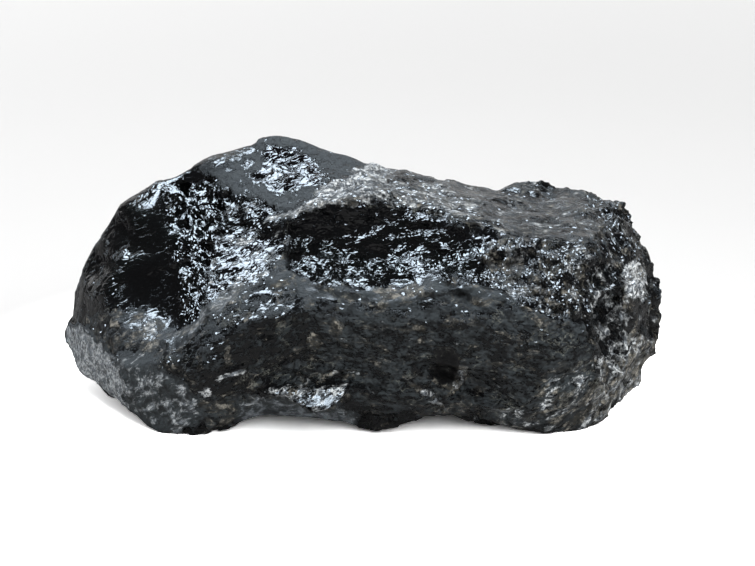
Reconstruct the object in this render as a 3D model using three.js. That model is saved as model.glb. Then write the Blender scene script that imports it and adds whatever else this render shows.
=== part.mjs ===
// A raw lump of morion, the black variety of smoky quartz, broken from a massive vein.
// It is one piece of stone. It lies on its long side on a few worn feet: +X runs along the lump,
// -Y is the broad broken front, +Z is up, and the origin is below the middle, on the resting plane.
//
// The lump is built in three steps. Corners on the crests, arrises and hollows are joined into a
// hull of flat fracture faces. The faces are split until no edge is long, and their edges are worn.
// Last, the surface gets the tilted shingles, thin ledges and small lumps that broken quartz has.
import * as THREE from "three";
import { ConvexHull } from "three/addons/math/ConvexHull.js";
import { SimplexNoise } from "three/addons/math/SimplexNoise.js";

// ---- Driving dimensions, in millimetres ----
const LENGTH = 151; // along X, from the left tip to the right knob
const CORE = new THREE.Vector3(0, 0, 30); // every corner can be seen from this point inside the lump
const CORE_STRETCH = 0.5; // squeezes X, so that the long lump is near a ball when its corners are joined
const FRONT_EDGE = 4.3; // no edge is longer than this on the front and the top
const BACK_EDGE = 5.6; // nor than this on the back and below
const FRONT_DEPTH = 14; // Y where the finer front ends
const WEAR = 0.2; // how far each point moves towards its neighbours as the arrises wear
const SMOOTH_BELOW = [0.5, 5]; // Z over which the relief sets in, so that the feet stay where they are
const SHINGLES = [{ size: 16, lift: 1.4, seed: 110 }, { size: 8, lift: 1.1, seed: 210 }];
const LUMPS = [{ size: 24, lift: 0.5, seed: 0 }, { size: 10, lift: 0.4, seed: 60 }];
const LEDGES = { pitch: 7, lift: 1.6, leftLean: -0.25, rightLean: 0.2, turnsAt: 5 }; // the lean turns at this X

// Each list holds corners [x, y, z] along one feature of the lump, from left to right.
const crest = [
  [-76.5, 5, 12.5], [-73, 6, 27.5], [-69, 5, 35.5], [-64.5, 4, 43.5], [-60, 3, 49],
  [-53, 4, 53], [-45.5, 4, 57], [-38, 5, 61], [-30.5, 6, 64], [-23, 6, 66],
  [-15.5, 6, 65], [-9.5, 6, 62], [-3, 6, 60.5], [2, 7, 57.5], [10.5, 8, 56],
  [17, 9, 54.5], [22, 10, 52], [33.5, 13, 49], [40.5, 17, 50.5], [46.5, 18, 50],
  [53, 17, 47.5], [61, 13, 47.5], [66.5, 9, 47], [70, 6, 40.5], [72, 4, 34.5],
  [74, 2, 29], [75.5, 0, 20.5], [74, -3, 13.5], [70, -7, 6], [65, -12, 2.5],
];
const frontFoot = [
  [-75, 3, 8.5], [-71, -6, 5], [-64, -15, 4], [-55.5, -24, 2], [-49, -29, -1.5],
  [-42.5, -30, -1.5], [-33.5, -29, 0], [-30, -27, 3], [-24.5, -25, 3.5], [-15, -25, 2.5],
  [-5.5, -27, 2], [1.5, -29, 0], [5.5, -31, 4.5], [9, -31, 4], [16, -30, 4],
  [24.5, -29, 5], [36.5, -30, 3], [44, -30, 0], [51.5, -28, -1.5], [58, -23, -1],
];
const leftChamfer = [
  [-75.5, 3, 18], [-67.5, -10, 19], [-61, -20, 18.5], [-58, -25, 15.5], [-56.5, -26, 9.5],
  [-48.5, -32, 13.5], [-47, -31.5, 20], [-41, -34, 11], [-37, -36, 18.5],
];
const leftScoop = [
  [-69, -4, 28.5], [-62, -14, 29], [-59.5, -8.5, 37.5], [-56, -1, 46.5], [-54, -21, 23.5],
  [-52, -7.5, 40], [-51.5, -13.5, 31.5], [-48.5, 1, 50.5], [-46, -28.5, 23], [-45.5, -12.5, 37.5],
  [-44, -4.5, 45.5], [-44, -22, 29],
];
const gullies = [
  [-41, 3, 55.5], [-38.5, -5, 50.5], [-40, -12, 45], [-39, -19.5, 39], [-38, -27, 33.5], [-40.5, -33, 26.5],
];
const brightFace = [
  [-33.5, -7, 51], [-29.5, -14.5, 46.5], [-31.5, -21, 41], [-32, -27, 36], [-24.5, -16, 47.5],
  [-23.5, -22.5, 43],
];
const arris = [
  [-35, -34, 31.5], [-29, -32, 35.5], [-23, -30, 39], [-18.5, -28, 42.5], [-17.5, -24, 46.5], [-18.5, -19, 50],
];
const crownFace = [
  [-40.5, 2, 59], [-34, -4, 54], [-30, -10, 52], [-27.5, 0, 59.5], [-24, -14, 51],
  [-18.5, -17, 51.5], [-19, -5.5, 59], [-11.5, -18, 55], [-10, -3, 60], [-6.5, -12, 57], [-0.5, 1, 58],
];
const topFrontEdge = [
  [-12.5, -19, 52], [-4, -17, 55.5], [4, -15, 57], [12.5, -15, 55.5], [21, -17, 53],
  [28, -20, 50], [36, -24, 47.5], [44.5, -25, 47], [53, -23, 46], [57.5, -12, 47.5],
];
const topFace = [[9, -2, 56], [24, -4, 52], [36.5, -2, 48], [45.5, 5, 47.5], [56, 0, 47.5]];
const frontHollow = [
  [-15, -20, 46.5], [-14.5, -24, 42], [-7.5, -19, 49], [-6.5, -23, 43], [2.5, -18, 50],
  [4, -22, 43.5], [9, -27, 40.5], [15, -19, 49], [16, -23, 43], [25, -22, 46], [25.5, -27, 41.5],
];
const ledge = [
  [-14.5, -31, 40], [-7.5, -34, 39.5], [-2.5, -36, 38.5], [5.5, -38, 37], [11.5, -37, 38],
  [19.5, -36, 40], [27.5, -36, 39], [35, -37, 36], [44, -37, 31.5], [53, -34, 29.5],
];
const crystallineBank = [
  [32.5, -28, 43.5], [40.5, -29, 43.5], [43, -34, 36.5], [50, -30, 41.5], [52, -32, 35.5],
];
const frontFace = [
  [-35.5, -37, 24.5], [-26, -37, 31.5], [-26.5, -36, 23], [-14.5, -37, 34], [-14.5, -35, 25],
  [-3, -38, 31], [-1.5, -35, 21.5], [9, -39, 31.5], [10, -37, 21.5], [21.5, -39, 31.5],
  [34.5, -39, 26.5], [37.5, -37, 15], [46.5, -38, 22], [49.5, -35, 11], [55, -32, 17.5],
];
const frontPit = [
  [15, -37, 24], [20, -38, 24.5], [18.5, -32, 18.5], [21.5, -31, 16], [17.5, -35.5, 16],
  [25, -37.5, 20], [24, -36, 14], [18.5, -36, 11],
];
const lip = [
  [-29, -35, 16.5], [-24, -36, 13.5], [-15, -33, 17], [-13.5, -36.5, 13.5], [-4, -33.5, 16],
  [-2.5, -35.5, 14], [5.5, -37, 12.5], [9, -36, 15],
];
const arch = [
  [-29, -33, 9], [-22, -33, 10], [-14, -33, 9], [-5.5, -33, 7.5], [9, -34, 8], [37.5, -34, 7.5],
];
const rightEnd = [
  [54.5, -33, 26.5], [57.5, -26, 9], [58, -18, 45.5], [58.5, -20, 38.5], [59, -21, 29],
  [60.5, -20, 18.5], [63, -5, 46.5], [63.5, -19, 11], [64.5, -13, 40.5], [64.5, -20, 35.5],
  [64.5, -18, 26], [68.5, -12, 28.5], [68.5, -12, 16.5], [71.5, -5, 26],
];
const backShoulder = [
  [-67, 13, 26], [-58, 16, 40], [-46, 18, 48], [-36, 20, 52], [-26, 18, 57], [-20, 25, 50], [-12, 17, 57],
  [-2, 23, 50], [9, 20, 50], [20, 24, 47], [31, 22, 46], [42, 29, 43], [52, 27, 41], [62, 20, 38], [70, 12, 30],
];
const backScoop = [
  [-66, 17, 16], [-57, 24, 28], [-49, 30, 34], [-46, 26, 22], [-38, 30, 38], [-36, 27, 27], [-33, 33, 13],
];
const backRib = [[-25, 33, 45], [-22, 37, 36], [-17, 39, 26], [-14, 40, 16], [-10, 36, 8]];
const backFace = [
  [-6, 30, 42], [0, 31, 32], [3, 35, 20], [14, 31, 38], [18, 33, 27], [23, 37, 17], [32, 31, 33],
  [38, 36, 22], [46, 34, 30], [53, 32, 17], [62, 25, 24], [70, 14, 15],
];
const backFoot = [
  [-58, 22, 6], [-46, 28, 4], [-28, 33, 3], [-6, 31, 3], [12, 33, 7], [30, 33, 3], [46, 28, 5],
  [61, 15, 6],
];
const underside = [
  [-60, 6, 4], [-50, -8, 2], [-46, -22, -1], [-44, 14, -1.5], [-38, -14, 1.5], [-26, 20, -1], [-20, -4, 3],
  [-4, 14, 3], [2, -14, 3], [16, 20, 2], [22, -4, 4], [34, 20, -1.5], [42, -14, 1.5],
  [46, 8, -1], [50, -22, -1], [56, -4, 2],
];
const corners = [
  crest, frontFoot, leftChamfer, leftScoop, gullies, brightFace, arris, crownFace, topFrontEdge,
  topFace, frontHollow, ledge, crystallineBank, frontFace, frontPit, lip, arch, rightEnd,
  backShoulder, backScoop, backRib, backFace, backFoot, underside,
].flat();

// ---- Chance that comes out the same each time ----
function hash(x, y, z, seed) {
  let h = Math.imul(x, 374761393) ^ Math.imul(y, 668265263);
  h ^= Math.imul(z, 2147483647) ^ Math.imul(seed, 1274126177);
  h = Math.imul(h ^ (h >>> 13), 1103515245);
  h = Math.imul(h ^ (h >>> 16), 2246822519);
  return ((h ^ (h >>> 15)) >>> 0) / 4294967296;
}
let drawn = 0;
const simplex = new SimplexNoise({ random: () => hash(drawn++, 7, 11, 3) });
const lumps = (p, size, seed) => simplex.noise3d(p.x / size + seed, p.y / size, p.z / size);

// The flat faces between the corners: the corners are joined as they lie around the core.
function hullOfCorners() {
  const spots = corners.map(([x, y, z]) => new THREE.Vector3(x, y, z));
  const rays = spots.map((spot) => {
    const ray = spot.clone().sub(CORE);
    ray.x *= CORE_STRETCH;
    return ray.normalize();
  });
  const order = new Map(rays.map((ray, index) => [ray, index]));
  const faces = new ConvexHull().setFromPoints(rays).faces.map((face) => {
    const { edge } = face;
    return [edge.tail(), edge.head(), edge.next.head()].map((vertex) => order.get(vertex.point));
  });
  return { spots, faces };
}

// Splits the faces until no edge is longer than its side of the lump allows.
function splitLongEdges({ spots, faces }) {
  const limit = (point) => THREE.MathUtils.lerp(
    FRONT_EDGE, BACK_EDGE, THREE.MathUtils.smoothstep(point.y, FRONT_DEPTH - 6, FRONT_DEPTH + 10),
  );
  for (;;) {
    const middles = new Map();
    const key = (a, b) => (a < b ? `${a},${b}` : `${b},${a}`);
    for (const [a, b, c] of faces) {
      const lengthOf = ([from, to]) => spots[from].distanceTo(spots[to]);
      const [from, to] = [[a, b], [b, c], [c, a]].reduce((p, q) => (lengthOf(q) > lengthOf(p) ? q : p));
      const middle = spots[from].clone().add(spots[to]).multiplyScalar(0.5);
      if (!middles.has(key(from, to)) && lengthOf([from, to]) > limit(middle)) {
        middles.set(key(from, to), spots.push(middle) - 1);
      }
    }
    if (!middles.size) return { spots, faces };
    faces = faces.flatMap((face) => splitFace(face, (a, b) => middles.get(key(a, b)), spots));
  }
}

// One face cut at the middles of its long edges, into two, three or four.
function splitFace([a, b, c], middleOf, spots) {
  const [ab, bc, ca] = [middleOf(a, b), middleOf(b, c), middleOf(c, a)];
  const cuts = [ab, bc, ca].filter((middle) => middle !== undefined).length;
  if (cuts === 0) return [[a, b, c]];
  if (cuts === 3) return [[a, ab, ca], [ab, b, bc], [ca, bc, c], [ab, bc, ca]];
  if (cuts === 1) {
    if (ab !== undefined) return [[a, ab, c], [ab, b, c]];
    if (bc !== undefined) return [[b, bc, a], [bc, c, a]];
    return [[c, ca, b], [ca, a, b]];
  }
  if (bc === undefined) return cutAcross([b, c, a, ca, ab], spots);
  if (ca === undefined) return cutAcross([c, a, b, ab, bc], spots);
  return cutAcross([a, b, c, bc, ca], spots);
}

// A face with corners p, q and r, cut at the middles of its edges qr and rp, into three.
function cutAcross([p, q, r, qr, rp], spots) {
  const straight = spots[p].distanceTo(spots[qr]) < spots[q].distanceTo(spots[rp]);
  return straight ? [[rp, qr, r], [p, qr, rp], [p, q, qr]] : [[rp, qr, r], [p, q, rp], [q, qr, rp]];
}

// Moves each point a share of the way to the mean of its neighbours, which wears the arrises.
function wear({ spots, faces }, share) {
  const sums = spots.map(() => new THREE.Vector3());
  const counts = spots.map(() => 0);
  for (const [a, b, c] of faces) {
    for (const [from, to] of [[a, b], [b, c], [c, a]]) {
      sums[from].add(spots[to]);
      counts[from] += 1;
    }
  }
  spots.forEach((spot, index) => spot.lerp(sums[index].divideScalar(counts[index]), share));
}

// The direction outwards at each point, as the mean of the faces around it.
function normalsOf({ spots, faces }) {
  const normals = spots.map(() => new THREE.Vector3());
  for (const [a, b, c] of faces) {
    const normal = spots[b].clone().sub(spots[a]).cross(spots[c].clone().sub(spots[a]));
    for (const index of [a, b, c]) normals[index].add(normal);
  }
  return normals.map((normal) => normal.normalize());
}

// Broken shingles: every cell of a random foam is a flat patch with a tilt of its own.
function shingles(point, size, seed) {
  const home = point.clone().divideScalar(size);
  const cell = home.clone().floor();
  let nearest = Infinity;
  let lift = 0;
  for (let i = -1; i <= 1; i += 1) {
    for (let j = -1; j <= 1; j += 1) {
      for (let k = -1; k <= 1; k += 1) {
        const [x, y, z] = [cell.x + i, cell.y + j, cell.z + k];
        const chance = (which) => hash(x, y, z, seed + which);
        const away = home.clone().sub(new THREE.Vector3(x + chance(0), y + chance(1), z + chance(2)));
        if (away.lengthSq() < nearest) {
          nearest = away.lengthSq();
          const tilt = new THREE.Vector3(chance(3) - 0.5, chance(4) - 0.5, chance(5) - 0.5);
          lift = tilt.dot(away) + (chance(6) - 0.5) * 0.3;
        }
      }
    }
  }
  return lift;
}

// Thin ledges, one above the other, that lean a little and fade in and out along the lump.
function ledges(point, pitch, lean) {
  const height = point.z + point.x * lean + lumps(point, 26, 5) * pitch * 1.2;
  const step = height / pitch - Math.floor(height / pitch);
  return (step - 0.5) * Math.max(0, 0.35 + lumps(point, 19, 31));
}

// 1 from low to high, fading to 0 over the soft width on either side.
function within(value, low, high, soft) {
  const { smoothstep } = THREE.MathUtils;
  return smoothstep(value, low - soft, low) * (1 - smoothstep(value, high, high + soft));
}

// How rough the break is: the crown, the bright face below it and the front are smooth, the rest is not.
function roughness(point) {
  const smoothCrown = within(point.x, -38, -2, 6) * within(point.z, 53, 70, 3);
  const smoothFace = within(point.x, -36, -20, 4) * within(point.z, 36, 50, 3) * within(point.y, -32, -6, 4);
  const smoothFront = within(point.x, -30, 50, 6) * within(point.z, 6, 34, 4) * within(point.y, -50, -30, 4);
  const coarseEnd = THREE.MathUtils.smoothstep(point.x, 40, 62);
  return 1 - 0.75 * smoothCrown - 0.75 * smoothFace - 0.5 * smoothFront + 0.5 * coarseEnd;
}

function relief(point) {
  const rough = roughness(point) * THREE.MathUtils.smoothstep(point.z, ...SMOOTH_BELOW);
  const broken = SHINGLES.reduce((sum, { size, lift, seed }) => sum + shingles(point, size, seed) * lift, 0);
  const lumpy = LUMPS.reduce((sum, { size, lift, seed }) => sum + lumps(point, size, seed) * lift, 0);
  const lean = point.x < LEDGES.turnsAt ? LEDGES.leftLean : LEDGES.rightLean;
  const banked = ledges(point, LEDGES.pitch, lean) * LEDGES.lift;
  return rough * (broken + banked + lumpy);
}

function brokenLump() {
  const lump = splitLongEdges(hullOfCorners());
  wear(lump, WEAR);
  const normals = normalsOf(lump);
  const lifts = lump.spots.map((spot) => relief(spot));
  lump.spots.forEach((spot, index) => spot.addScaledVector(normals[index], lifts[index]));
  return lump;
}

// Sets the lump at its length, over the origin, with its lowest points worn to flat feet at Z = 0.
function settle({ spots }) {
  const box = new THREE.Box3().setFromPoints(spots);
  const scale = LENGTH / (box.max.x - box.min.x);
  const middle = box.getCenter(new THREE.Vector3());
  for (const spot of spots) {
    spot.set((spot.x - middle.x) * scale, (spot.y - middle.y) * scale, Math.max(spot.z * scale, 0));
  }
}

const lump = brokenLump();
settle(lump);
const geometry = new THREE.BufferGeometry().setFromPoints(lump.spots);
geometry.setIndex(lump.faces.flat());
geometry.computeVertexNormals();

const morion = new THREE.MeshStandardMaterial({ color: 0x14161a, roughness: 0.28, metalness: 0 });
const stone = new THREE.Mesh(geometry, morion);
stone.name = "morion_lump";

const part = new THREE.Group();
part.add(stone);
export default part;
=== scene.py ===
"""A raw lump of morion, the black variety of smoky quartz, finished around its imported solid.

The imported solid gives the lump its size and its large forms. This script refines a copy of it with the
chips, ledges and pits of broken quartz, gives it its glassy black, frosted and stained surface, and sets
it on a pale floor in soft studio light. All lengths are in metres, +Z is up and -Y is the broad front.
"""

import math

import bpy
import numpy as np
from mathutils import Euler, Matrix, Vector, noise


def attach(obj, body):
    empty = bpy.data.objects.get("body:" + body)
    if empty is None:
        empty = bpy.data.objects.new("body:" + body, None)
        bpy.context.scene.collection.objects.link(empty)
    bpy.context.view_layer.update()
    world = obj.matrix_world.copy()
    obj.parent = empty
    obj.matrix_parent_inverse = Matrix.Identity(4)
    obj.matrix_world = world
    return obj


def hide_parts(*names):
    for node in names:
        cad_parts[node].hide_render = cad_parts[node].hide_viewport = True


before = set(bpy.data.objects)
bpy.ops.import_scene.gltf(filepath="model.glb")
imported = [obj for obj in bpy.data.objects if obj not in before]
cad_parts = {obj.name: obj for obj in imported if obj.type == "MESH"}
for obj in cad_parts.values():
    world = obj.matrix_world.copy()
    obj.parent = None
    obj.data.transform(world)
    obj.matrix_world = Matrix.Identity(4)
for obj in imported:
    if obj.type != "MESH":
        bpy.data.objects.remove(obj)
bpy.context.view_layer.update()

MM = 0.001
TINY = 1e-6

# ---- The camera ----
IMAGE_WIDTH = 755  # pixels, of an image 566 high
FOCAL_PIXELS = 2240
SENSOR_WIDTH = 36.0
AIM = Vector((0.0041, 0.0, 0.0286))
CAMERA_DISTANCE = 0.560
CAMERA_HEIGHT_ANGLE = math.radians(18)

# ---- The refined mesh ----
MESH_CELL = 0.70 * MM
SOFTEN_ROUNDS = 2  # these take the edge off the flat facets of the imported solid
SMOOTH_PARTS = ("left_edge", "scoop", "crown", "chamfer", "arch")  # broken in broad, even faces
SMOOTH_ROUNDS = 50

# The front of the lump is described on a plane that faces it, tipped back by this angle. A place on the
# plane is (right, up) in millimetres.
TIP = math.radians(18)
RIGHT = np.array((1.0, 0.0, 0.0))
UP = np.array((0.0, math.sin(TIP), math.cos(TIP)))
FRONT = np.array((0.0, -math.cos(TIP), math.sin(TIP)))

# ---- What the surface is like ----
# The traits of a part, each from 0 to 1: how deep its chips are; whether its grain runs level, steep or
# rising; how wrinkled its glass is; how much of it has broken along one plane and flashes; how dull and
# even it is; and how much of it is frosted, pale and stained. A trait that isn't named is 0.
# The pale trait is pale quartz, and on the glints, the lips and the bright face it also paints a
# highlight.
TRAITS = ("chips", "level", "steep", "rising", "wrinkles", "flash", "dull", "frost", "pale", "stain")

# Each grain: its trait, the degrees that it runs below level, and how far it draws out the stone.
GRAINS = (("level", 6, 1.7), ("steep", 62, 1.8), ("rising", -30, 1.8))

# The ends, the back and the underside have patches that lie nearer the one or the other of these.
BROKEN = dict(chips=0.7, wrinkles=0.9, flash=0.03, dull=0.1, frost=0.30, pale=0.14, stain=0.28)
WORN = dict(chips=0.45, wrinkles=0.4, flash=0.01, dull=0.3, frost=0.62, pale=0.28, stain=0.42)
WORN_PATCH = 16 * MM  # the size of the patches
WORN_CONTRAST = 1.6  # how sharply they differ

# The front ends where the surface turns away from it, on a ragged line.
FRONT_CONTRAST = 2.5  # how sharply it ends
FRONT_RAGGED = 1.4  # how ragged the line is
FRONT_RAG = 7 * MM  # the size of its rags

# Parts of the front: the traits, and the outline on the tipped plane. A later part covers an earlier one.
PARTS = {
    "left_edge": (
        dict(chips=0.1, rising=1, wrinkles=0.65, frost=0.26, pale=0.03, stain=0.16),
        [(-80, 16), (-56, 16), (-53, 30), (-53, 44), (-44, 51), (-36, 54), (-36, 60), (-60, 58),
         (-84, 34)]),
    "scoop": (
        dict(rising=1, wrinkles=0.3, dull=0.1, frost=0.14, stain=0.03),
        [(-57, 44), (-50, 48), (-47, 44), (-43.5, 35.5), (-43.5, 26), (-40.5, 18.5), (-44.5, 16),
         (-52, 18.5), (-57, 24), (-55.5, 34)]),
    "apron": (
        dict(chips=0.4, rising=1, wrinkles=0.6, flash=0.002, dull=0.5, frost=0.45, pale=0.06, stain=0.45),
        [(-68, 18), (-60, 20.5), (-52, 20), (-44, 17.5), (-38.5, 16.5), (-42, 8), (-50, 9.5),
         (-60.5, 10.5), (-66, 13.5)]),
    "gullies": (
        dict(chips=0.8, steep=1, wrinkles=0.85, flash=0.12, frost=0.12, pale=0.04, stain=0.08),
        [(-50, 50), (-44, 52.5), (-37.5, 53), (-33.5, 47.5), (-35.5, 44), (-34.5, 38), (-35.5, 32.5),
         (-37.5, 27), (-38, 20.5), (-41, 18.5), (-45, 23), (-42.5, 28), (-46.5, 33), (-44, 38.5),
         (-49, 43), (-46, 46)]),
    "crown": (
        dict(chips=0.05, wrinkles=0.2, dull=0.25, frost=0.62, pale=0.04, stain=0.14),
        [(-39.5, 56), (-35, 62), (-20, 70), (6, 60), (2.5, 57), (-1.5, 54.5), (-7.5, 51.5), (-10.5, 48.5),
         (-16, 45), (-24, 46), (-30, 48.5), (-34.5, 52)]),
    "crown_dark": (
        dict(chips=0.1, rising=1, wrinkles=0.9, frost=0.4, stain=0.2),
        [(-41, 56), (-36, 61), (-27, 64), (-25, 60), (-31, 57.5), (-36, 56)]),
    "crown_glass": (
        dict(chips=0.6, rising=1, wrinkles=1, flash=0.02, frost=0.28),
        [(-23.5, 61.2), (-18, 61.7), (-14, 60), (-10.5, 56.5), (-7.5, 53), (-9, 50.5), (-15.5, 50.5),
         (-19, 49.5), (-25, 51), (-27, 52.5), (-25, 54), (-23, 56.5), (-25, 59)]),
    "crown_tip": (
        dict(chips=0.4, rising=1, wrinkles=1, flash=0.1, frost=0.1),
        [(-30, 55.3), (-29, 56.6), (-26.5, 57), (-28, 55.3)]),
    # Painted highlight, partly: the bright face and the bright patch really mirror the key light, and
    # their pale cover paints in more of that light as a whitish tone.
    "bright_face": (
        dict(chips=0.5, rising=1, wrinkles=1, flash=0.05, frost=0.25, pale=0.34),
        [(-33.5, 47.5), (-29, 48.5), (-25.5, 46.5), (-22, 45), (-17.5, 44.5), (-19, 42), (-18, 38),
         (-19, 32.5), (-23.5, 30), (-29, 26.5), (-35, 20.5), (-38, 20.5), (-37.5, 27), (-35.5, 32.5),
         (-34.5, 38), (-35.5, 44)]),
    "bright_patch": (
        dict(chips=0.3, rising=1, wrinkles=0.5, flash=0.3, frost=0.2, pale=0.35),
        [(-30, 28), (-29, 32), (-26, 34.5), (-22, 34), (-23, 29.5), (-26, 27.5)]),
    "top": (
        dict(chips=0.3, level=1, wrinkles=0.35, flash=0.008, dull=0.1, frost=0.4, pale=0.33, stain=0.36),
        [(3, 57), (9, 56), (24, 53), (39, 54), (53, 52), (70, 50), (70, 42), (64, 37), (56, 36.5),
         (47, 37), (37.5, 38), (30.5, 40), (23.5, 45.5), (16.5, 50), (9, 52)]),
    "hollow": (
        dict(chips=0.8, level=1, wrinkles=1, flash=0.015, dull=0.05, frost=0.05, stain=0.05),
        [(-17, 40.5), (-12, 43.5), (-6.5, 46), (2, 45.5), (9, 44.5), (18, 43.5), (25.5, 39.5),
         (30.5, 35.5), (27.5, 30), (18, 27.5), (5.5, 26), (-5, 27), (-14.5, 28.5), (-17.5, 32.5),
         (-17.5, 38)]),
    "hollow_rim": (
        dict(chips=0.7, level=1, wrinkles=0.8, flash=0.05, dull=0.1, frost=0.35, pale=0.5, stain=0.45),
        [(-6.5, 46.5), (-2.5, 51), (3, 54), (9, 53.5), (19, 51), (29.5, 46.5), (29.5, 39.5), (23.5, 43.5),
         (18, 44), (9, 45), (2, 46), (-3, 45)]),
    "rim": (
        dict(chips=0.3, rising=1, wrinkles=0.5, flash=0.03, dull=0.1, frost=0.35, pale=0.68, stain=0.3),
        [(-23.5, 41), (-17.5, 44.5), (-10.5, 48.5), (-7.5, 51.5), (-1.5, 54.5), (2.5, 56.5), (8, 55),
         (3, 53), (-2.5, 50.5), (-6.5, 46.5), (-12, 44), (-17.5, 42)]),
    "front": (
        dict(chips=0.3, level=1, wrinkles=0.45, flash=0.006, dull=0.1, frost=0.54, pale=0.15, stain=0.34),
        [(-38.5, 16.5), (-23.5, 26.5), (-14.5, 25), (-4, 23), (9, 21.5), (19.5, 23), (27.5, 20.5),
         (35.5, 22), (46.5, 19), (53, 16.5), (57, 10), (56, 3), (56.5, -7), (42.5, -9), (28, -3),
         (18.5, -2.5), (3, -5), (-2.5, -0.5), (-15, 3.5), (-26.5, 1), (-35, -1.5), (-41, 2),
         (-42, 11.5)]),
    "front_corner": (
        dict(chips=0.3, rising=1, wrinkles=0.5, flash=0.015, dull=0.1, frost=0.62, pale=0.36, stain=0.42),
        [(46, 8), (57, 10), (56, -2), (57, -9), (36, -9), (28, -4), (40, -1)]),
    "front_left": (
        dict(chips=0.3, rising=1, wrinkles=0.45, flash=0.02, dull=0.1, frost=0.44, pale=0.05, stain=0.34),
        [(-38.5, 16.5), (-23.5, 26.5), (-14, 25), (-12, 15), (-16, 4), (-26.5, 1), (-35, -1.5), (-41, 2),
         (-42, 11.5)]),
    "ledge": (
        dict(chips=0.5, level=1, wrinkles=0.25, flash=0.01, dull=0.8, frost=0.6, pale=0.14, stain=0.42),
        [(-17.5, 32.5), (-14.5, 28.5), (-5, 26.5), (5.5, 26), (18, 27), (32.5, 25.5), (35.5, 22.5),
         (27.5, 20.5), (19.5, 23.5), (9, 22), (-5, 23.5), (-14.5, 25.5), (-23.5, 27)]),
    "tan_ledge": (
        dict(chips=0.5, level=1, wrinkles=0.5, flash=0.03, dull=0.4, frost=0.3, pale=0.35, stain=0.8),
        [(4.5, 25.5), (9, 27), (13, 28), (14, 25.5), (10, 23.5), (5.5, 23)]),
    "bank": (
        dict(chips=1, wrinkles=1, flash=0.09, dull=0.05, frost=0.15, pale=0.36, stain=0.42),
        [(29.5, 36.5), (37.5, 37.5), (47, 36.5), (55.5, 36), (57, 30), (54.5, 23.5), (54, 17.5),
         (46.5, 19.5), (38, 22.5), (31, 26), (28.5, 31)]),
    "right_end": (
        dict(chips=0.8, steep=1, wrinkles=0.8, flash=0.04, dull=0.1, frost=0.35, pale=0.28, stain=0.34),
        [(57, 50), (80, 50), (80, -12), (56, -12), (55.5, -1.5), (56, 6.5), (56.5, 12), (54, 20),
         (57, 30)]),
    "right_low": (
        dict(chips=0.6, rising=1, wrinkles=0.8, flash=0.03, dull=0.1, frost=0.38, pale=0.5, stain=0.5),
        [(57, 10), (62, 12), (67, 15.5), (74, 12), (71, 0), (62, -9), (56, -10), (55.5, -3)]),
    "right_groove": (
        dict(chips=0.8, steep=1, wrinkles=1, flash=0.3, dull=0.1, frost=0.35, pale=0.42, stain=0.25),
        [(53.5, 30.5), (60, 31), (60.5, 23.5), (65, 19), (65.5, 10.5), (60, 9.5), (55.5, 16.5),
         (53.5, 23.5)]),
    "knob_pale": (
        dict(chips=0.7, rising=1, wrinkles=0.8, flash=0.06, frost=0.1, pale=0.86, stain=0.4),
        [(63.5, 31.5), (68, 33), (71.5, 30), (71, 25), (67.5, 23), (64, 26)]),
    "pit": (
        dict(chips=0.5, wrinkles=0.4, dull=0.8, frost=0.15, stain=0.25),
        [(17.5, 11.5), (21, 12), (22.5, 9), (22, 4.5), (20, 3.5), (18, 5.5)]),
    "pit_rim": (
        dict(chips=0.5, wrinkles=0.5, flash=0.08, dull=0.3, frost=0.3, pale=0.6, stain=0.6),
        [(22, 7.5), (25.5, 7), (24.5, 2.5), (21.5, 1)]),
    # Painted highlight, partly: the flakes of the three lips really mirror the key light, and their pale
    # cover paints in more of the glint where that light does not reach.
    "lip_fan": (
        dict(chips=0.3, rising=1, wrinkles=0.8, flash=1, pale=0.42),
        [(-14.5, 3.2), (-9, 3.5), (-5, 3.5), (-2.2, 3.4), (-3.4, 1.4), (-5.5, -0.2), (-8, -1.3),
         (-10.5, -1.6), (-13.5, -0.5)]),
    "lip_left": (
        dict(chips=0.3, rising=1, wrinkles=0.8, flash=1, pale=0.4),
        [(-19.5, 1.6), (-18, 2.9), (-14.5, 3.2), (-13.5, -0.5), (-16, 0.2)]),
    "lip_tip": (
        dict(chips=0.3, rising=1, wrinkles=0.9, flash=0.8, pale=0.45),
        [(-24.5, 2.3), (-20, 2.6), (-18.5, 2), (-19, 0.7), (-22.5, 1)]),
    "lip_vein": (
        dict(chips=0.3, rising=1, wrinkles=0.5, flash=0.03, dull=0.1, frost=0.5, pale=0.55, stain=0.5),
        [(-20, -1), (-16.5, 3), (-11.5, 5.6), (-5.3, 6.2), (0, 6.6), (-0.3, 5.5), (-5.3, 5), (-11, 4.3),
         (-15.5, 2.3), (-19, -1)]),
    "pit_vein": (
        dict(chips=0.3, rising=1, wrinkles=0.5, flash=0.03, dull=0.1, frost=0.5, pale=0.5, stain=0.5),
        [(9.5, 5.6), (14, 3.7), (17.7, 0.6), (21, -2.2), (20, -3), (16.8, -0.5), (13, 2.4), (9.5, 4.4)]),
    "fold": (
        dict(chips=0.5, rising=1, wrinkles=0.4, flash=0.005, dull=0.6, frost=0.62, pale=0.5, stain=0.45),
        [(-46, 14.5), (-41, 15.7), (-35, 20), (-27.5, 25.7), (-27.5, 28), (-36, 23.3), (-41, 18.8),
         (-46, 16.5)]),
    # Painted highlights: the pale cover of these two small patches stands in for the glints of the key
    # light on them.
    "glint_low": (
        dict(chips=0.3, rising=1, wrinkles=0.9, flash=0.3, frost=0.1, pale=0.62, stain=0.1),
        [(-40.4, -0.9), (-39.2, 1.1), (-37, 2.9), (-35, 3), (-36, 1), (-38.4, -1)]),
    "glint_high": (
        dict(chips=0.3, rising=1, wrinkles=0.9, flash=0.3, frost=0.1, pale=0.58, stain=0.1),
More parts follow.
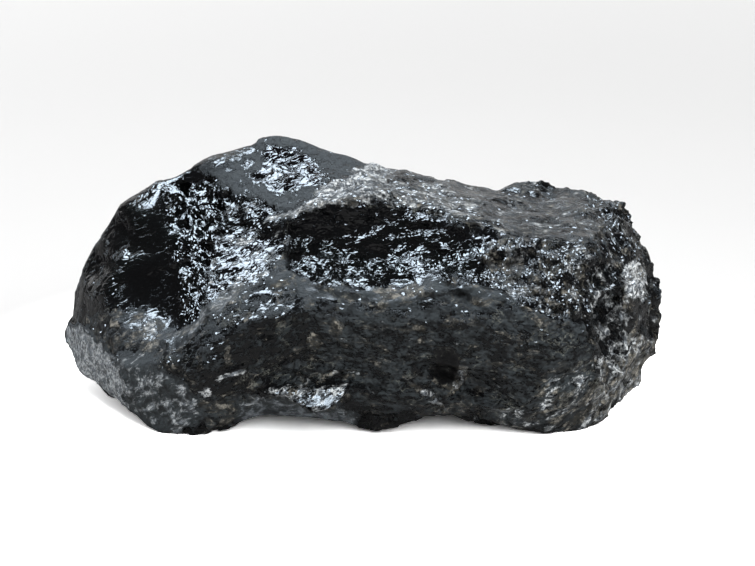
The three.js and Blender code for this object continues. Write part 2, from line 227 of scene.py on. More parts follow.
        [(-34.3, 4.3), (-32.6, 6.2), (-29.5, 7.2), (-27.8, 6.8), (-29, 4.9), (-31.7, 3.7)]),
    "arch": (
        dict(chips=0.05, wrinkles=0.2, dull=1, frost=1, pale=0.5, stain=0.06),
        [(-29, -2.5), (-25.5, 0), (-20.5, -0.5), (-13, -2.5), (-5, -4), (-0.5, -5), (-5, -9), (-20, -9),
         (-30, -6)]),
    "chamfer": (
        dict(chips=0.05, rising=1, wrinkles=0.3, dull=0.5, frost=1, pale=0.66),
        [(-78, 17.5), (-73.5, 17.5), (-69, 15.5), (-60.5, 10), (-57, 3), (-58, -4), (-70, -4), (-78, 4)]),
    "chamfer_low": (
        dict(chips=0.1, rising=1, wrinkles=0.4, dull=0.5, frost=0.9, pale=0.4, stain=0.08),
        [(-60.5, 10), (-52, 10), (-44, 5.5), (-39, -0.5), (-36.5, -3.5), (-43.5, -10), (-58, -10),
         (-58, -4), (-57, 3)]),
    "foot": (
        dict(chips=0.3, level=1, wrinkles=0.5, flash=0.01, dull=0.3, frost=0.6, stain=0.5),
        [(-41, 1), (-28.5, -1.5), (-29.5, -8), (-37.5, -8), (-39, -0.5)]),
    "left_pale": (
        dict(chips=0.5, wrinkles=0.5, flash=0.03, dull=0.3, frost=0.4, pale=0.7, stain=0.4),
        [(-53.5, 18.5), (-50.5, 18), (-50, 13), (-52, 13)]),
}

EDGE_SOFTNESS = 2.2 * MM  # over which a part fades into its neighbours
WANDERS = ((7 * MM, 1.6 * MM), (2.4 * MM, 1.2 * MM))  # lumps of noise that bend the outlines, and how far
WANDER_SEED = 3  # keeps that noise the same each time

# Parts that the refined mesh leans over: how far they rise per millimetre to the right and upwards, the
# place on the tipped plane that stays where it is, and the millimetres over which they fade out.
LEANS = {
    "scoop": ((0, 0.24), (-52, 30), 14),
    "lip_fan": ((0.06, -0.85), (-10, 2.6), 1.2),
    "lip_left": ((0.06, -0.95), (-16, 2.6), 1.2),
    "lip_tip": ((0.06, -0.75), (-21, 2.3), 1.2),
    "crown_dark": ((0, -0.30), (-34, 59), 3),
}

# Ridges and grooves: the half-width, the height (a groove's is negative), and points in millimetres along
# the middle of it.
LINES = {
    "arris": (1.3, 0.6, [(-19, -18, 50), (-18, -20, 46), (-18, -24, 44.5), (-19, -26.5, 42.5)]),
    "rim_ridge": (2.4, 1.1, [
        (-23, -16.5, 48), (-16, -18.5, 51.5), (-9.5, -17.5, 55), (-7, -12.5, 56.5), (-1.5, -5, 58),
        (3.5, 5.5, 56.5)]),
    "crown_step": (1.0, -0.8, [
        (-29, -8.5, 53), (-25.5, -12, 52), (-22, -14, 51.5), (-17.5, -16.5, 52.5)]),
    "gully_a": (1.6, -2.2, [(-37.5, -0.5, 55.5), (-35.5, -6, 51.5), (-33, -13.5, 46.5)]),
    "gully_b": (1.3, -1.7, [(-32, -6.5, 53.5), (-29, -12, 50), (-29, -14, 47.5)]),
    "gully_c": (1.8, -2.4, [(-43.5, 2, 53), (-40.5, -5, 50), (-38, -13.5, 44.5), (-37.5, -21, 39)]),
    "gully_d": (1.6, -2.0, [(-45.5, -2, 51), (-43, -8, 45), (-41.5, -15, 39), (-40.5, -23, 33)]),
    "gully_e": (1.3, -1.6, [(-36, -14.5, 44.5), (-36, -19.5, 40.5), (-37.5, -24.5, 36.5)]),
    "long_ridge": (1.5, 0.8, [(-23, -29.5, 39), (-29, -31.5, 35.5), (-35, -33, 31.5), (-41, -32, 26.5)]),
    "ledge_line": (1.2, -0.7, [
        (-14.5, -32, 39.5), (-4, -36.5, 38), (5.5, -37.5, 37), (19.5, -35.5, 40), (27.5, -37.5, 37.5),
        (35, -37.5, 35.5), (53, -33.5, 29)]),
    "slot": (1.4, -1.3, [(22, -36.5, 38), (24.5, -36.5, 37), (27.5, -38, 35.5)]),
    "right_groove": (3.0, -1.8, [(57, -23, 39), (57.5, -25.5, 33), (60.5, -21, 24), (63, -18.5, 17)]),
    "knob_edge": (1.4, 0.9, [(61.5, -17.5, 40), (61, -21.5, 37), (62.5, -19, 31), (65.5, -17.5, 25)]),
    "chamfer_edge": (1.2, 0.5, [
        (-73, 0.5, 18.5), (-68, -8.5, 18.5), (-60.5, -18.5, 16.5), (-57, -25, 12), (-58, -21, 4)]),
    "lip_vein": (1.2, 0.6, [
        (-19, -36, 12.9), (-15, -35.3, 16), (-10.5, -34.2, 17.5), (-6.5, -34.6, 18.7), (-2, -35, 19.6)]),
    "pit_vein": (1.2, 0.5, [(9, -37, 18.8), (12.5, -36.7, 17.2), (16, -36.2, 14.6), (19, -36.5, 11)]),
    "fold": (1.6, 0.5, [(-40.5, -35.5, 18.5), (-33.5, -37, 21.5), (-25, -37, 24), (-17, -36.5, 29)]),
}

# Thin ledges cross the stone at right angles to these: they rise to the right on its left half, and fall
# on its right half.
LEFT_LEDGES = (-0.30, 0.25, 0.92)
RIGHT_LEDGES = (0.34, 0.25, 0.90)
LEDGES_TURN = (-5 * MM, 18 * MM)  # X, where the one kind ends and the other begins
LEDGE_HEIGHT = 0.5 * MM

# ---- The patterns ----
MIDDLE = (0.5, 0.5, 0.5)  # of soft noise in three directions
NOISE_REACH = 0.28  # nearly all of the noise lies this close to its middle

# ---- The finish ----
BLACK_GLASS = (0.0022, 0.0024, 0.0028, 1)
GREY_FROST = (0.029, 0.036, 0.040, 1)
SMOKY_QUARTZ = (0.16, 0.18, 0.20, 1)
# Pale quartz, which on the glints, the lips and the bright face is also a painted highlight.
WHITE_QUARTZ_AND_HIGHLIGHT = (0.64, 0.67, 0.68, 1)
BROWN_STAIN = (0.029, 0.027, 0.021, 1)
TAN_STAIN = (0.25, 0.235, 0.20, 1)
VEIN = (0.115, 0.12, 0.105, 1)

QUARTZ_IOR = 1.54
GLASS_ROUGHNESS = 0.13
MATT_ROUGHNESS = 0.88
DULL_MATT = 0.8  # how matt the stone gets where it is dull
DULL_LEVEL = 0.95  # how thickly the frost and the stains tend to lie there
DULL_EVENNESS = 0.5  # how far they are brought to that
DUST_HEIGHT = 0.35 * MM

# A few flakes have broken along one plane and flash together.
CRYSTAL_PLANE = Vector((-0.20, -0.50, 0.84))
FLAKE_SIZE = 0.34 * MM
FLAKE_BEND = 0.5 * MM
FLAKE_LEAN = (0, 0.24, 0.24)  # how unevenly they face that way
FLAKE_TURN = (-0.05, 0.20)  # how far the surface faces that way at the first flakes, and at full measure

# ---- The studio ----
FLOOR_SIZE = 8.0
PAPER = 0.80
PAPER_IN_GLASS = -0.60  # how much darker the floor is where the stone mirrors it

# Painted light on the floor: how much lighter or darker the camera sees it than its paper, as two
# distances and the change at each of them. The rings lie around the stone: the first paints the floor
# much lighter close around the stone, which washes out the stone's shadow there, and the others grade it
# further off, to even out how the lamps' light falls off. The last change runs from left to right:
# lighter to the left, darker to the right.
FLOOR_PAINTED_LIGHT_RINGS = ((0.06, 0.12, 2.30, -0.09), (0.11, 0.22, 0, -0.03), (0.30, 0.75, 0, 0.16))
FLOOR_PAINTED_LIGHT_ACROSS = (-0.35, 0.35, 0.09, -0.09)

# The brightness of the room as the glass mirrors it, and what is added where it lights the matt stone and
# where the camera sees it.
ROOM_IN_GLASS = 0.05
ROOM_LIGHT = 0.65
ROOM_SEEN = 0.91

KEY_COLOUR = (0.74, 0.87, 1.0)  # a little cool


def clear_selection():
    bpy.ops.object.select_all(action="DESELECT")


def make_active(piece):
    clear_selection()
    piece.select_set(True)
    bpy.context.view_layer.objects.active = piece


def apply_modifier(piece, kind, **settings):
    """Adds one modifier with its settings and applies it to the mesh."""
    modifier = piece.modifiers.new(kind.title(), kind)
    for name, value in settings.items():
        setattr(modifier, name, value)
    make_active(piece)
    bpy.ops.object.modifier_apply(modifier=modifier.name)


class Wires:
    """Adds nodes to a tree, one call for each node, and joins them."""

    # The sockets of a Mix node: its first value, its second one, and the result.
    MIX_SOCKETS = {"VECTOR": (4, 5, 1), "RGBA": (6, 7, 2)}

    def __init__(self, tree):
        self.tree = tree

    def node(self, kind, inputs=None, **settings):
        made = self.tree.nodes.new(kind)
        for name, value in settings.items():
            setattr(made, name, value)
        for socket, value in (inputs or {}).items():
            self.feed(made.inputs[socket], value)
        return made

    def feed(self, socket, value):
        if isinstance(value, bpy.types.NodeSocket):
            self.tree.links.new(value, socket)
        else:
            socket.default_value = value

    # -- Sums --
    def maths(self, operation, *values):
        return self.node("ShaderNodeMath", dict(enumerate(values)), operation=operation).outputs[0]

    def chained(self, operation, first, *rest):
        for value in rest:
            first = self.maths(operation, first, value)
        return first

    def add(self, *values):
        return self.chained("ADD", *values)

    def times(self, *values):
        return self.chained("MULTIPLY", *values)

    def largest(self, *values):
        return self.chained("MAXIMUM", *values)

    def without(self, value):
        """What is left of 1."""
        return self.maths("SUBTRACT", 1.0, value)

    def vector(self, operation, *values):
        made = self.node("ShaderNodeVectorMath", dict(enumerate(values)), operation=operation)
        return made.outputs["Value" if operation in ("DOT_PRODUCT", "LENGTH") else "Vector"]

    def step(self, value, low, high, bottom=0.0, top=1.0):
        """A soft step from bottom to top as the value goes from low to high."""
        inputs = {"Value": value, "From Min": low, "From Max": high, "To Min": bottom, "To Max": top}
        return self.node("ShaderNodeMapRange", inputs, interpolation_type="SMOOTHSTEP").outputs["Result"]

    def mix(self, kind, amount, first, second):
        """The first value where the amount is 0, and the second one where it is 1."""
        first_socket, second_socket, result = self.MIX_SOCKETS[kind]
        inputs = {0: amount, first_socket: first, second_socket: second}
        return self.node("ShaderNodeMix", inputs, data_type=kind).outputs[result]

    def trait(self, name):
        """The value that the mesh holds at each point, in a geometry or a material tree."""
        if self.tree.type == "GEOMETRY":
            held = self.node("GeometryNodeInputNamedAttribute", {"Name": name}, data_type="FLOAT")
            return held.outputs["Attribute"]
        return self.node("ShaderNodeAttribute", attribute_name=name).outputs["Fac"]

    # -- Places --
    def drawn_out(self, place, angle, stretch):
        """The place along axes turned about Y by the angle, and drawn out along the first of them."""
        axes = Euler((0, math.radians(angle), 0)).to_matrix().transposed()
        lengths = (stretch, 1.0, 1.0)
        along = {
            index: self.vector("DOT_PRODUCT", place, axis / length)
            for index, (axis, length) in enumerate(zip(axes, lengths))}
        return self.node("ShaderNodeCombineXYZ", along).outputs[0]

    def grain(self, place):
        """The place drawn out along the grain of the stone."""
        drawn = place
        for name, angle, stretch in GRAINS:
            here = self.maths("GREATER_THAN", self.trait(name), 0.5)
            drawn = self.mix("VECTOR", here, drawn, self.drawn_out(place, angle, stretch))
        return drawn

    def bent(self, place, size, reach):
        """The place pushed about by soft noise, so that straight edges come out curved."""
        inputs = {"Vector": place, "Scale": 1 / size, "Detail": 1.0}
        push = self.node("ShaderNodeTexNoise", inputs).outputs["Color"]
        push = self.vector("SUBTRACT", push, MIDDLE)
        return self.vector("ADD", place, self.vector("MULTIPLY", push, (reach, reach, reach)))

    # -- Patterns --
    def noise(self, place, size, detail=3.0, roughness=0.55, bend=0.0):
        """Soft random values around 0.5, in lumps of the given size."""
        inputs = {"Vector": place, "Scale": 1 / size, "Detail": detail}
        inputs.update({"Roughness": roughness, "Distortion": bend})
        return self.node("ShaderNodeTexNoise", inputs).outputs[0]

    def cover(self, amount, noise_value, softness):
        """Ragged patches that cover about the given amount of the surface."""
        level = self.add(self.times(amount, 2 * NOISE_REACH), -NOISE_REACH, noise_value)
        return self.step(level, 0.5 - softness / 2, 0.5 + softness / 2)

    def plates(self, place, bent, size, groove, depth, tilt):
        """Flat chips with ragged edges, narrow grooves between them, and a tilt of its own for each."""
        scaled = {"Vector": bent, "Scale": 1 / size}
        edge = self.node("ShaderNodeTexVoronoi", scaled, feature="DISTANCE_TO_EDGE").outputs["Distance"]
        cell = self.node("ShaderNodeTexVoronoi", scaled)
        away = self.vector("SUBTRACT", place, cell.outputs["Position"])
        lean = self.vector("SUBTRACT", cell.outputs["Color"], MIDDLE)
        slope = self.times(self.vector("DOT_PRODUCT", away, lean), tilt)
        return self.add(slope, self.step(edge, 0, groove, bottom=-depth * size, top=0))

    def ledges(self, place, direction, pitch, wander, wander_size):
        """Thin ledges: a slope that rises along the direction and drops back, at uneven heights."""
        height = self.times(self.vector("DOT_PRODUCT", place, direction), 1 / pitch)
        height = self.add(height, self.times(self.noise(place, wander_size), wander))
        return self.maths("FRACT", height)

    def flakes(self, place):
        """The small flakes of the crystal plane: where they are, and how each of them faces."""
        cell = self.node("ShaderNodeTexVoronoi", {"Vector": place, "Scale": 1 / FLAKE_SIZE})
        chance = self.node("ShaderNodeSeparateXYZ", {0: cell.outputs["Color"]}).outputs[0]
        normal = self.node("ShaderNodeNewGeometry").outputs["Normal"]
        turned = self.step(self.vector("DOT_PRODUCT", normal, CRYSTAL_PLANE), *FLAKE_TURN)
        here = self.maths("GREATER_THAN", self.times(self.trait("flash"), turned), chance)
        lean = self.vector("SUBTRACT", cell.outputs["Color"], MIDDLE)
        facing = self.vector("ADD", CRYSTAL_PLANE, self.vector("MULTIPLY", lean, FLAKE_LEAN))
        spaces = dict(vector_type="NORMAL", convert_from="OBJECT", convert_to="WORLD")
        facing = self.node("ShaderNodeVectorTransform", {0: facing}, **spaces).outputs[0]
        return here, self.vector("NORMALIZE", facing)


# ---- The stone ----
def copy_of_solid(node, name):
    """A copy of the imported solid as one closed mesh, with its own data."""
    clear_selection()
    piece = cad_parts[node].copy()
    piece.data = piece.data.copy()
    piece.name = name
    piece.parent = None
    bpy.context.scene.collection.objects.link(piece)
    make_active(piece)
    bpy.ops.object.mode_set(mode="EDIT")
    bpy.ops.mesh.select_all(action="SELECT")
    bpy.ops.mesh.remove_doubles(threshold=TINY)
    bpy.ops.object.mode_set(mode="OBJECT")
    return piece


def vectors_of(piece, kind):
    """The place ("co") or the normal ("normal") of each point of the mesh."""
    values = np.empty(len(piece.data.vertices) * 3)
    piece.data.vertices.foreach_get(kind, values)
    return values.reshape(-1, 3)


def points_of(piece):
    return vectors_of(piece, "co")


def on_front(points):
    """The points as places on the tipped plane."""
    return points @ np.stack((RIGHT, UP), axis=1)


def wandered(points):
    """The points pushed about by noise, so that what is drawn on them gets ragged edges."""
    noise.seed_set(WANDER_SEED)
    pushed = points.copy()
    for size, reach in WANDERS:
        pushed += [reach * noise.noise_vector(Vector(point) / size) for point in points]
    return pushed


def soft_noise(points, size):
    """A soft random value around 0 at each point, in lumps of the given size."""
    return np.array([noise.noise(Vector(point) / size) for point in points])


def smooth_step(values):
    clipped = np.clip(values, 0, 1)
    return clipped * clipped * (3 - 2 * clipped)


def distance_to_stretch(points, start, end):
    """How far each point lies from the straight stretch between two places."""
    along = end - start
    part = np.clip((points - start) @ along / (along @ along), 0, 1)
    return np.linalg.norm(points - start - part[:, None] * along, axis=1)


def share_inside(places, outline, softness=EDGE_SOFTNESS):
    """1 inside the outline and 0 outside it, with a soft edge."""
    corners = np.array(outline) * MM
    nearest = np.full(len(places), np.inf)
    inside = np.zeros(len(places), bool)
    for start, end in zip(corners, np.roll(corners, -1, axis=0)):
        nearest = np.minimum(nearest, distance_to_stretch(places, start, end))
        passed = (start[1] > places[:, 1]) != (end[1] > places[:, 1])
        slant = (end[0] - start[0]) / ((end[1] - start[1]) or TINY)
        inside ^= passed & (places[:, 0] < start[0] + (places[:, 1] - start[1]) * slant)
    return smooth_step(0.5 + np.where(inside, nearest, -nearest) / softness)


def mark(piece, name, values):
    """Gives the mesh a value at each point, which node trees read by its name."""
    layer = piece.data.attributes.new(name, "FLOAT", "POINT")
    layer.data.foreach_set("value", values.astype(np.float32))


def row_of(traits):
    """The traits in the order of TRAITS."""
    return np.array([traits.get(name, 0) for name in TRAITS])


def mark_traits(piece):
    """Gives the mesh its traits, part by part, each as a value at every point."""
    points = points_of(piece)
    towards = FRONT_CONTRAST * vectors_of(piece, "normal") @ FRONT
    facing = smooth_step(0.5 + towards + FRONT_RAGGED * soft_noise(points, FRONT_RAG))
    worn = smooth_step(0.5 + WORN_CONTRAST * soft_noise(points, WORN_PATCH))
    values = row_of(BROKEN) + worn[:, None] * (row_of(WORN) - row_of(BROKEN))
    places = on_front(wandered(points))
    for traits, outline in PARTS.values():
        share = (share_inside(places, outline) * facing)[:, None]
        values += share * (row_of(traits) - values)
    for index, name in enumerate(TRAITS):
        mark(piece, name, values[:, index])


def mark_smooth_parts(piece):
    """Gathers the smooth parts of the front in a vertex group of their own."""
    group = piece.vertex_groups.new(name="smooth")
    places = on_front(points_of(piece))
    share = np.max([share_inside(places, PARTS[name][1]) for name in SMOOTH_PARTS], axis=0)
    for index in np.flatnonzero(share > 0):
        group.add([int(index)], float(share[index]), "REPLACE")


def mark_lines(piece):
    """Marks how far each point is raised or sunk by the ridges and grooves."""
    points = wandered(points_of(piece))
    height = np.zeros(len(points))
    for half_width, rise, spots in LINES.values():
        spots = np.array(spots) * MM
        far = np.full(len(points), np.inf)
        for start, end in zip(spots[:-1], spots[1:]):
            far = np.minimum(far, distance_to_stretch(points, start, end))
        height += rise * MM * smooth_step(1 - far / (half_width * MM))
    mark(piece, "lines", height)


def mark_leans(piece):
    """Marks how far each point is moved where a part is leaned over."""
    places = on_front(points_of(piece))
    height = np.zeros(len(places))
    for name, (slope, still, softness) in LEANS.items():
        share = share_inside(places, PARTS[name][1], softness * MM)
        height += share * ((places - np.array(still) * MM) @ np.array(slope))
    mark(piece, "leans", height)


def relief_tree(relief):
    """A Geometry Nodes tree that moves each point along its normal by what relief(wires) says."""
    tree = bpy.data.node_groups.new(relief.__name__, "GeometryNodeTree")
    tree.interface.new_socket("Geometry", in_out="INPUT", socket_type="NodeSocketGeometry")
    tree.interface.new_socket("Geometry", in_out="OUTPUT", socket_type="NodeSocketGeometry")
    wires = Wires(tree)
    wires.place = wires.node("GeometryNodeInputPosition").outputs[0]
    normal = wires.node("GeometryNodeInputNormal").outputs[0]
    inputs = {0: normal, "Scale": relief(wires)}
    shift = wires.node("ShaderNodeVectorMath", inputs, operation="SCALE").outputs[0]
    start = wires.node("NodeGroupInput").outputs["Geometry"]
    moved = wires.node("GeometryNodeSetPosition", {"Geometry": start, "Offset": shift}).outputs[0]
    wires.node("NodeGroupOutput", {"Geometry": moved})
    return tree


def leans(wires):
    """The parts that lean over."""
    return wires.trait("leans")


def lines(wires):
    """The ridges and grooves, deeper in some places than in others."""
    uneven = wires.step(wires.noise(wires.place, size=4 * MM), 0.3, 0.7, bottom=0.5, top=1.5)
    return wires.times(wires.trait("lines"), uneven)


def large_chips(wires):
    """Chips of 6 to 13 mm, where the stone is most broken."""
    bent = wires.bent(wires.place, size=10 * MM, reach=6 * MM)
    bent = wires.bent(bent, size=3 * MM, reach=2 * MM)
    broad = wires.plates(wires.place, bent, size=13 * MM, groove=0.10, depth=0.02, tilt=0.30)
    narrow = wires.plates(wires.place, bent, size=6.5 * MM, groove=0.14, depth=0.03, tilt=0.34)
    return wires.times(wires.add(broad, narrow), wires.trait("chips"), wires.trait("chips"))


def small_chips(wires):
    """Chips of 3 to 6 mm, drawn out along the grain."""
    place = wires.grain(wires.place)
    bent = wires.bent(place, size=3 * MM, reach=1.6 * MM)
    chips = wires.plates(place, bent, size=3.4 * MM, groove=0.2, depth=0.05, tilt=0.30)
    return wires.times(chips, wires.trait("chips"))


def thin_ledges(wires):
    """Ledges in scattered patches, where the stone is chipped at all."""
    spacing = dict(pitch=3.8 * MM, wander=3.0, wander_size=14 * MM)
    left = wires.ledges(wires.place, LEFT_LEDGES, **spacing)
    right = wires.ledges(wires.place, RIGHT_LEDGES, **spacing)
    side = wires.step(wires.node("ShaderNodeSeparateXYZ", {0: wires.place}).outputs[0], *LEDGES_TURN)
    ledge = wires.add(wires.times(left, wires.without(side)), wires.times(right, side))
    patches = wires.step(wires.noise(wires.place, size=16 * MM), 0.40, 0.60)
    chipped = wires.step(wires.trait("chips"), 0, 0.5)
    return wires.times(wires.add(ledge, -0.5), patches, chipped, LEDGE_HEIGHT)


def rest_on_floor(piece):
    """Brings the points that the chips have pushed below the floor back up to it."""
    points = points_of(piece)
    points[:, 2] = np.maximum(points[:, 2], 0)
    piece.data.vertices.foreach_set("co", points.ravel())
    piece.data.update()


def thickness_of_covers(wires):
    """How thickly frost, pale quartz and stains lie: in grains, but more evenly where it is dull."""
    blotches = wires.noise(wires.along, size=1.6 * MM, detail=6, roughness=0.75)
    blotches = wires.step(blotches, 0.36, 0.60, bottom=0.05, top=1.25)
    grains = wires.noise(wires.along, size=0.6 * MM, detail=3, roughness=0.7)
    grains = wires.step(grains, 0.38, 0.62, bottom=0.40, top=1.40)
    thickness = wires.times(blotches, grains)
    excess = wires.add(thickness, -DULL_LEVEL)
    return wires.add(thickness, wires.times(excess, wires.trait("dull"), -DULL_EVENNESS))


def frost_cover(wires):
    patches = wires.noise(wires.along, size=2.4 * MM, detail=8, roughness=0.80)
    return wires.cover(wires.trait("frost"), patches, softness=0.12)


# Pale quartz, and on the glints, the lips and the bright face a painted highlight too.
def pale_and_highlight_cover(wires):
    patches = wires.noise(wires.along, size=3 * MM, detail=8, roughness=0.72)
    return wires.cover(wires.trait("pale"), patches, softness=0.14)


def stain_cover(wires):
    patches = wires.noise(wires.along, size=3.4 * MM, detail=8, roughness=0.72, bend=0.5)
    return wires.cover(wires.trait("stain"), patches, softness=0.12)


def vein_cover(wires):
    """Thin healed cracks, in some places only and where there are stains."""
    crack = wires.add(wires.noise(wires.along, size=6 * MM, detail=5, roughness=0.65), -0.5)
    crack = wires.step(wires.maths("ABSOLUTE", crack), 0, 0.012, bottom=1, top=0)
    places = wires.step(wires.noise(wires.place, size=7 * MM), 0.50, 0.62)
    return wires.times(crack, places, wires.step(wires.trait("stain"), 0.08, 0.3))


def stone_colour(wires, frost, pale, stain, veins):
    """Black glass under frost, pale quartz, stains and veins, one over the other. On the glints, the lips
    and the bright face the pale quartz is also a painted highlight.
    """
    thickness = thickness_of_covers(wires)
    bright = wires.noise(wires.along, size=1.2 * MM, detail=5, roughness=0.72)
    bright = wires.times(wires.step(bright, 0.45, 0.57), wires.without(wires.trait("dull")))
    pale_quartz_and_highlight = wires.mix("RGBA", bright, SMOKY_QUARTZ, WHITE_QUARTZ_AND_HIGHLIGHT)
    tan = wires.step(wires.noise(wires.place, size=2 * MM, detail=6, roughness=0.75), 0.48, 0.60)
    stained = wires.mix("RGBA", tan, BROWN_STAIN, TAN_STAIN)
    colour = wires.mix("RGBA", wires.times(frost, thickness), BLACK_GLASS, GREY_FROST)
    colour = wires.mix("RGBA", wires.times(pale, thickness), colour, pale_quartz_and_highlight)
    colour = wires.mix("RGBA", wires.times(stain, thickness), colour, stained)
    return wires.mix("RGBA", veins, colour, VEIN)


def stone_height(wires, matt):
    """The fine relief of the surface: wrinkles in the glass, and dust where it is matt."""
    coarse = wires.plates(wires.straight, wires.along, size=2.8 * MM, groove=0.12, depth=0.04, tilt=0.42)
    fine = wires.plates(wires.straight, wires.along, size=1.3 * MM, groove=0.14, depth=0.04, tilt=0.40)
    uneven = wires.step(wires.noise(wires.place, size=5 * MM), 0.35, 0.6, bottom=0.3, top=1.2)
    wrinkles = wires.times(wires.add(coarse, fine), wires.trait("wrinkles"), uneven)
    dust = wires.noise(wires.along, size=1 * MM, detail=4, roughness=0.7)
    return wires.add(wrinkles, wires.times(dust, matt, DUST_HEIGHT))


def stone_surface():
    """The finish: black glass, frosted where it was bruised, brown and tan where it is stained."""
    material = bpy.data.materials.new("morion")
    material.use_nodes = True
    wires = Wires(material.node_tree)
    wires.tree.nodes.clear()
    wires.place = wires.node("ShaderNodeTexCoord").outputs["Object"]
    wires.straight = wires.grain(wires.place)  # drawn out along the grain
    wires.along = wires.bent(wires.straight, size=2 * MM, reach=1.3 * MM)  # and softly bent

    frost = frost_cover(wires)
    pale = pale_and_highlight_cover(wires)
    stain = stain_cover(wires)
    veins = vein_cover(wires)
    flake, flake_facing = wires.flakes(wires.bent(wires.along, size=FLAKE_BEND, reach=FLAKE_BEND))
    matt = wires.largest(frost, stain, pale, veins, wires.times(wires.trait("dull"), DULL_MATT))
    matt = wires.times(matt, wires.without(flake))

    polish = wires.noise(wires.along, size=1.6 * MM, detail=5, roughness=0.7)
    polish = wires.times(matt, wires.step(polish, 0.35, 0.62, bottom=0.70, top=1.0))
    bump = wires.node("ShaderNodeBump", {"Height": stone_height(wires, matt), "Distance": 1.0})
    surface = wires.node("ShaderNodeBsdfPrincipled", {
        "Base Color": stone_colour(wires, frost, pale, stain, veins),
        "Roughness": wires.step(polish, 0, 1, bottom=GLASS_ROUGHNESS, top=MATT_ROUGHNESS),
        "IOR": QUARTZ_IOR,
        "Normal": wires.mix("VECTOR", flake, bump.outputs[0], flake_facing),
    })
    wires.node("ShaderNodeOutputMaterial", {"Surface": surface.outputs[0]})
    return material


def make_stone():
    """The stone: refined, smoothed in places, leaned, chipped and given its surface."""
    stone = copy_of_solid("morion_lump", "morion_stone")
    apply_modifier(stone, "REMESH", mode="VOXEL", voxel_size=MESH_CELL)
    apply_modifier(stone, "SMOOTH", factor=0.5, iterations=SOFTEN_ROUNDS)
    mark_smooth_parts(stone)
    apply_modifier(stone, "SMOOTH", factor=0.5, iterations=SMOOTH_ROUNDS, vertex_group="smooth")
    mark_traits(stone)
    mark_leans(stone)
    apply_modifier(stone, "NODES", node_group=relief_tree(leans))
    mark_lines(stone)
    for relief in (lines, large_chips, small_chips, thin_ledges):
        apply_modifier(stone, "NODES", node_group=relief_tree(relief))
    rest_on_floor(stone)
    make_active(stone)
    bpy.ops.object.shade_smooth()
    stone.data.materials.clear()
    stone.data.materials.append(stone_surface())
    return stone


# ---- The studio ----
def make_floor():
    """A sheet of pale paper, which looks white to the camera and grey where the stone mirrors it. Painted
    light makes it much lighter to the camera close around the stone, which washes out the stone's shadow.
    """
    clear_selection()
    bpy.ops.mesh.primitive_plane_add(size=FLOOR_SIZE, location=(0, 0, 0))
    floor = bpy.context.object
    floor.name = "pale_floor"
    material = bpy.data.materials.new("pale_floor")
    material.use_nodes = True
    wires = Wires(material.node_tree)
    wires.tree.nodes.clear()
    path = wires.node("ShaderNodeLightPath").outputs
    place = wires.node("ShaderNodeTexCoord").outputs["Object"]
    far = wires.vector("LENGTH", place)
    across = wires.node("ShaderNodeSeparateXYZ", {0: place}).outputs[0]
    # Painted light: the tone that only the camera sees, much lighter close around the stone to wash out
    # its shadow, and graded further off and from left to right.
    rings = [wires.step(far, *ring) for ring in FLOOR_PAINTED_LIGHT_RINGS]
    tone = wires.add(*rings, wires.step(across, *FLOOR_PAINTED_LIGHT_ACROSS))
    seen = wires.times(path["Is Camera Ray"], tone)
    mirrored = wires.times(path["Is Glossy Ray"], PAPER_IN_GLASS)
    paper = wires.node("ShaderNodeBsdfDiffuse", {"Color": wires.add(seen, mirrored, PAPER)})
    wires.node("ShaderNodeOutputMaterial", {"Surface": paper.outputs[0]})
    floor.data.materials.append(material)
    return floor


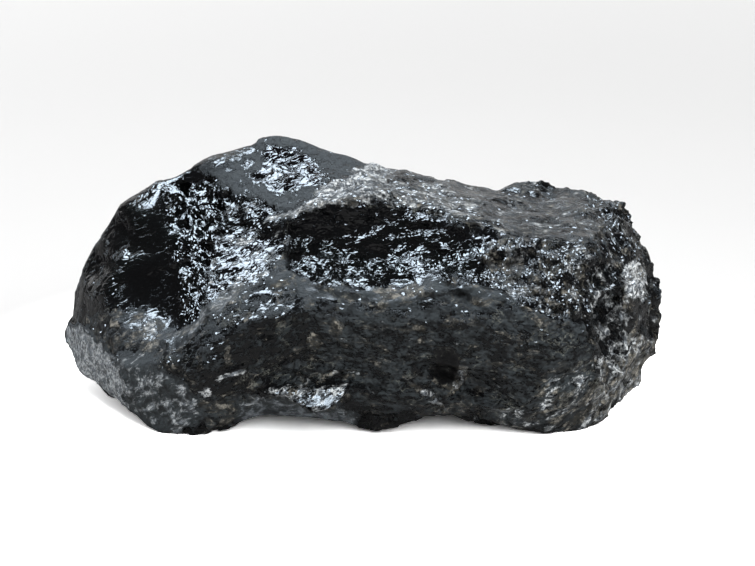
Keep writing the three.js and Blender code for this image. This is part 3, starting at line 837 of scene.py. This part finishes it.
def softbox(name, place, size, power, seen_in, colour=(1, 1, 1)):
    """A rectangular light at a place, turned towards the stone."""
    light = bpy.data.lights.new(name, "AREA")
    light.shape = "RECTANGLE"
    light.size, light.size_y = size
    light.energy = power
    light.color = colour
    lamp = bpy.data.objects.new(name, light)
    bpy.context.scene.collection.objects.link(lamp)
    lamp.location = place
    lamp.rotation_mode = "QUATERNION"
    lamp.rotation_quaternion = (Vector(place) - AIM).to_track_quat("Z", "Y")
    lamp.visible_glossy = seen_in == "glossy"
    lamp.visible_diffuse = seen_in == "diffuse"


def make_lights():
    """A cool key high up behind the stone, which its glass mirrors, and soft light on its matt parts."""
    softbox("high_key", (-0.29, 0.21, 0.96), (0.66, 0.66), power=30, seen_in="glossy", colour=KEY_COLOUR)
    softbox("soft_right", (0.55, -0.50, 0.90), (1.4, 1.4), power=21, seen_in="diffuse")
    softbox("pale_backdrop", (0.0, 1.5, 0.60), (3.0, 1.2), power=9, seen_in="glossy")


def make_world():
    """A room that is white behind the floor, lights all sides softly, and is dark in the glass."""
    world = bpy.data.worlds.new("studio")
    world.use_nodes = True
    world.cycles.sampling_method = "NONE"
    wires = Wires(world.node_tree)
    wires.tree.nodes.clear()
    path = wires.node("ShaderNodeLightPath").outputs
    light = wires.times(path["Is Diffuse Ray"], ROOM_LIGHT)
    seen = wires.times(path["Is Camera Ray"], ROOM_SEEN)
    inputs = {"Color": (1, 1, 1, 1), "Strength": wires.add(light, seen, ROOM_IN_GLASS)}
    room = wires.node("ShaderNodeBackground", inputs)
    wires.node("ShaderNodeOutputWorld", {"Surface": room.outputs[0]})
    bpy.context.scene.world = world


def make_camera():
    """A camera straight in front of the stone, a little above it, and aimed near its middle."""
    camera = bpy.data.cameras.new("camera")
    camera.sensor_width = SENSOR_WIDTH
    camera.lens = FOCAL_PIXELS / IMAGE_WIDTH * SENSOR_WIDTH
    eye = bpy.data.objects.new("camera", camera)
    bpy.context.scene.collection.objects.link(eye)
    back = Vector((0, -math.cos(CAMERA_HEIGHT_ANGLE), math.sin(CAMERA_HEIGHT_ANGLE)))
    eye.location = AIM + back * CAMERA_DISTANCE
    eye.rotation_mode = "QUATERNION"
    eye.rotation_quaternion = back.to_track_quat("Z", "Y")
    bpy.context.scene.camera = eye


make_camera()
bpy.context.scene.view_settings.view_transform = "Standard"
stone = make_stone()
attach(stone, "root")
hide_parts("morion_lump")
make_floor()
make_world()
make_lights()
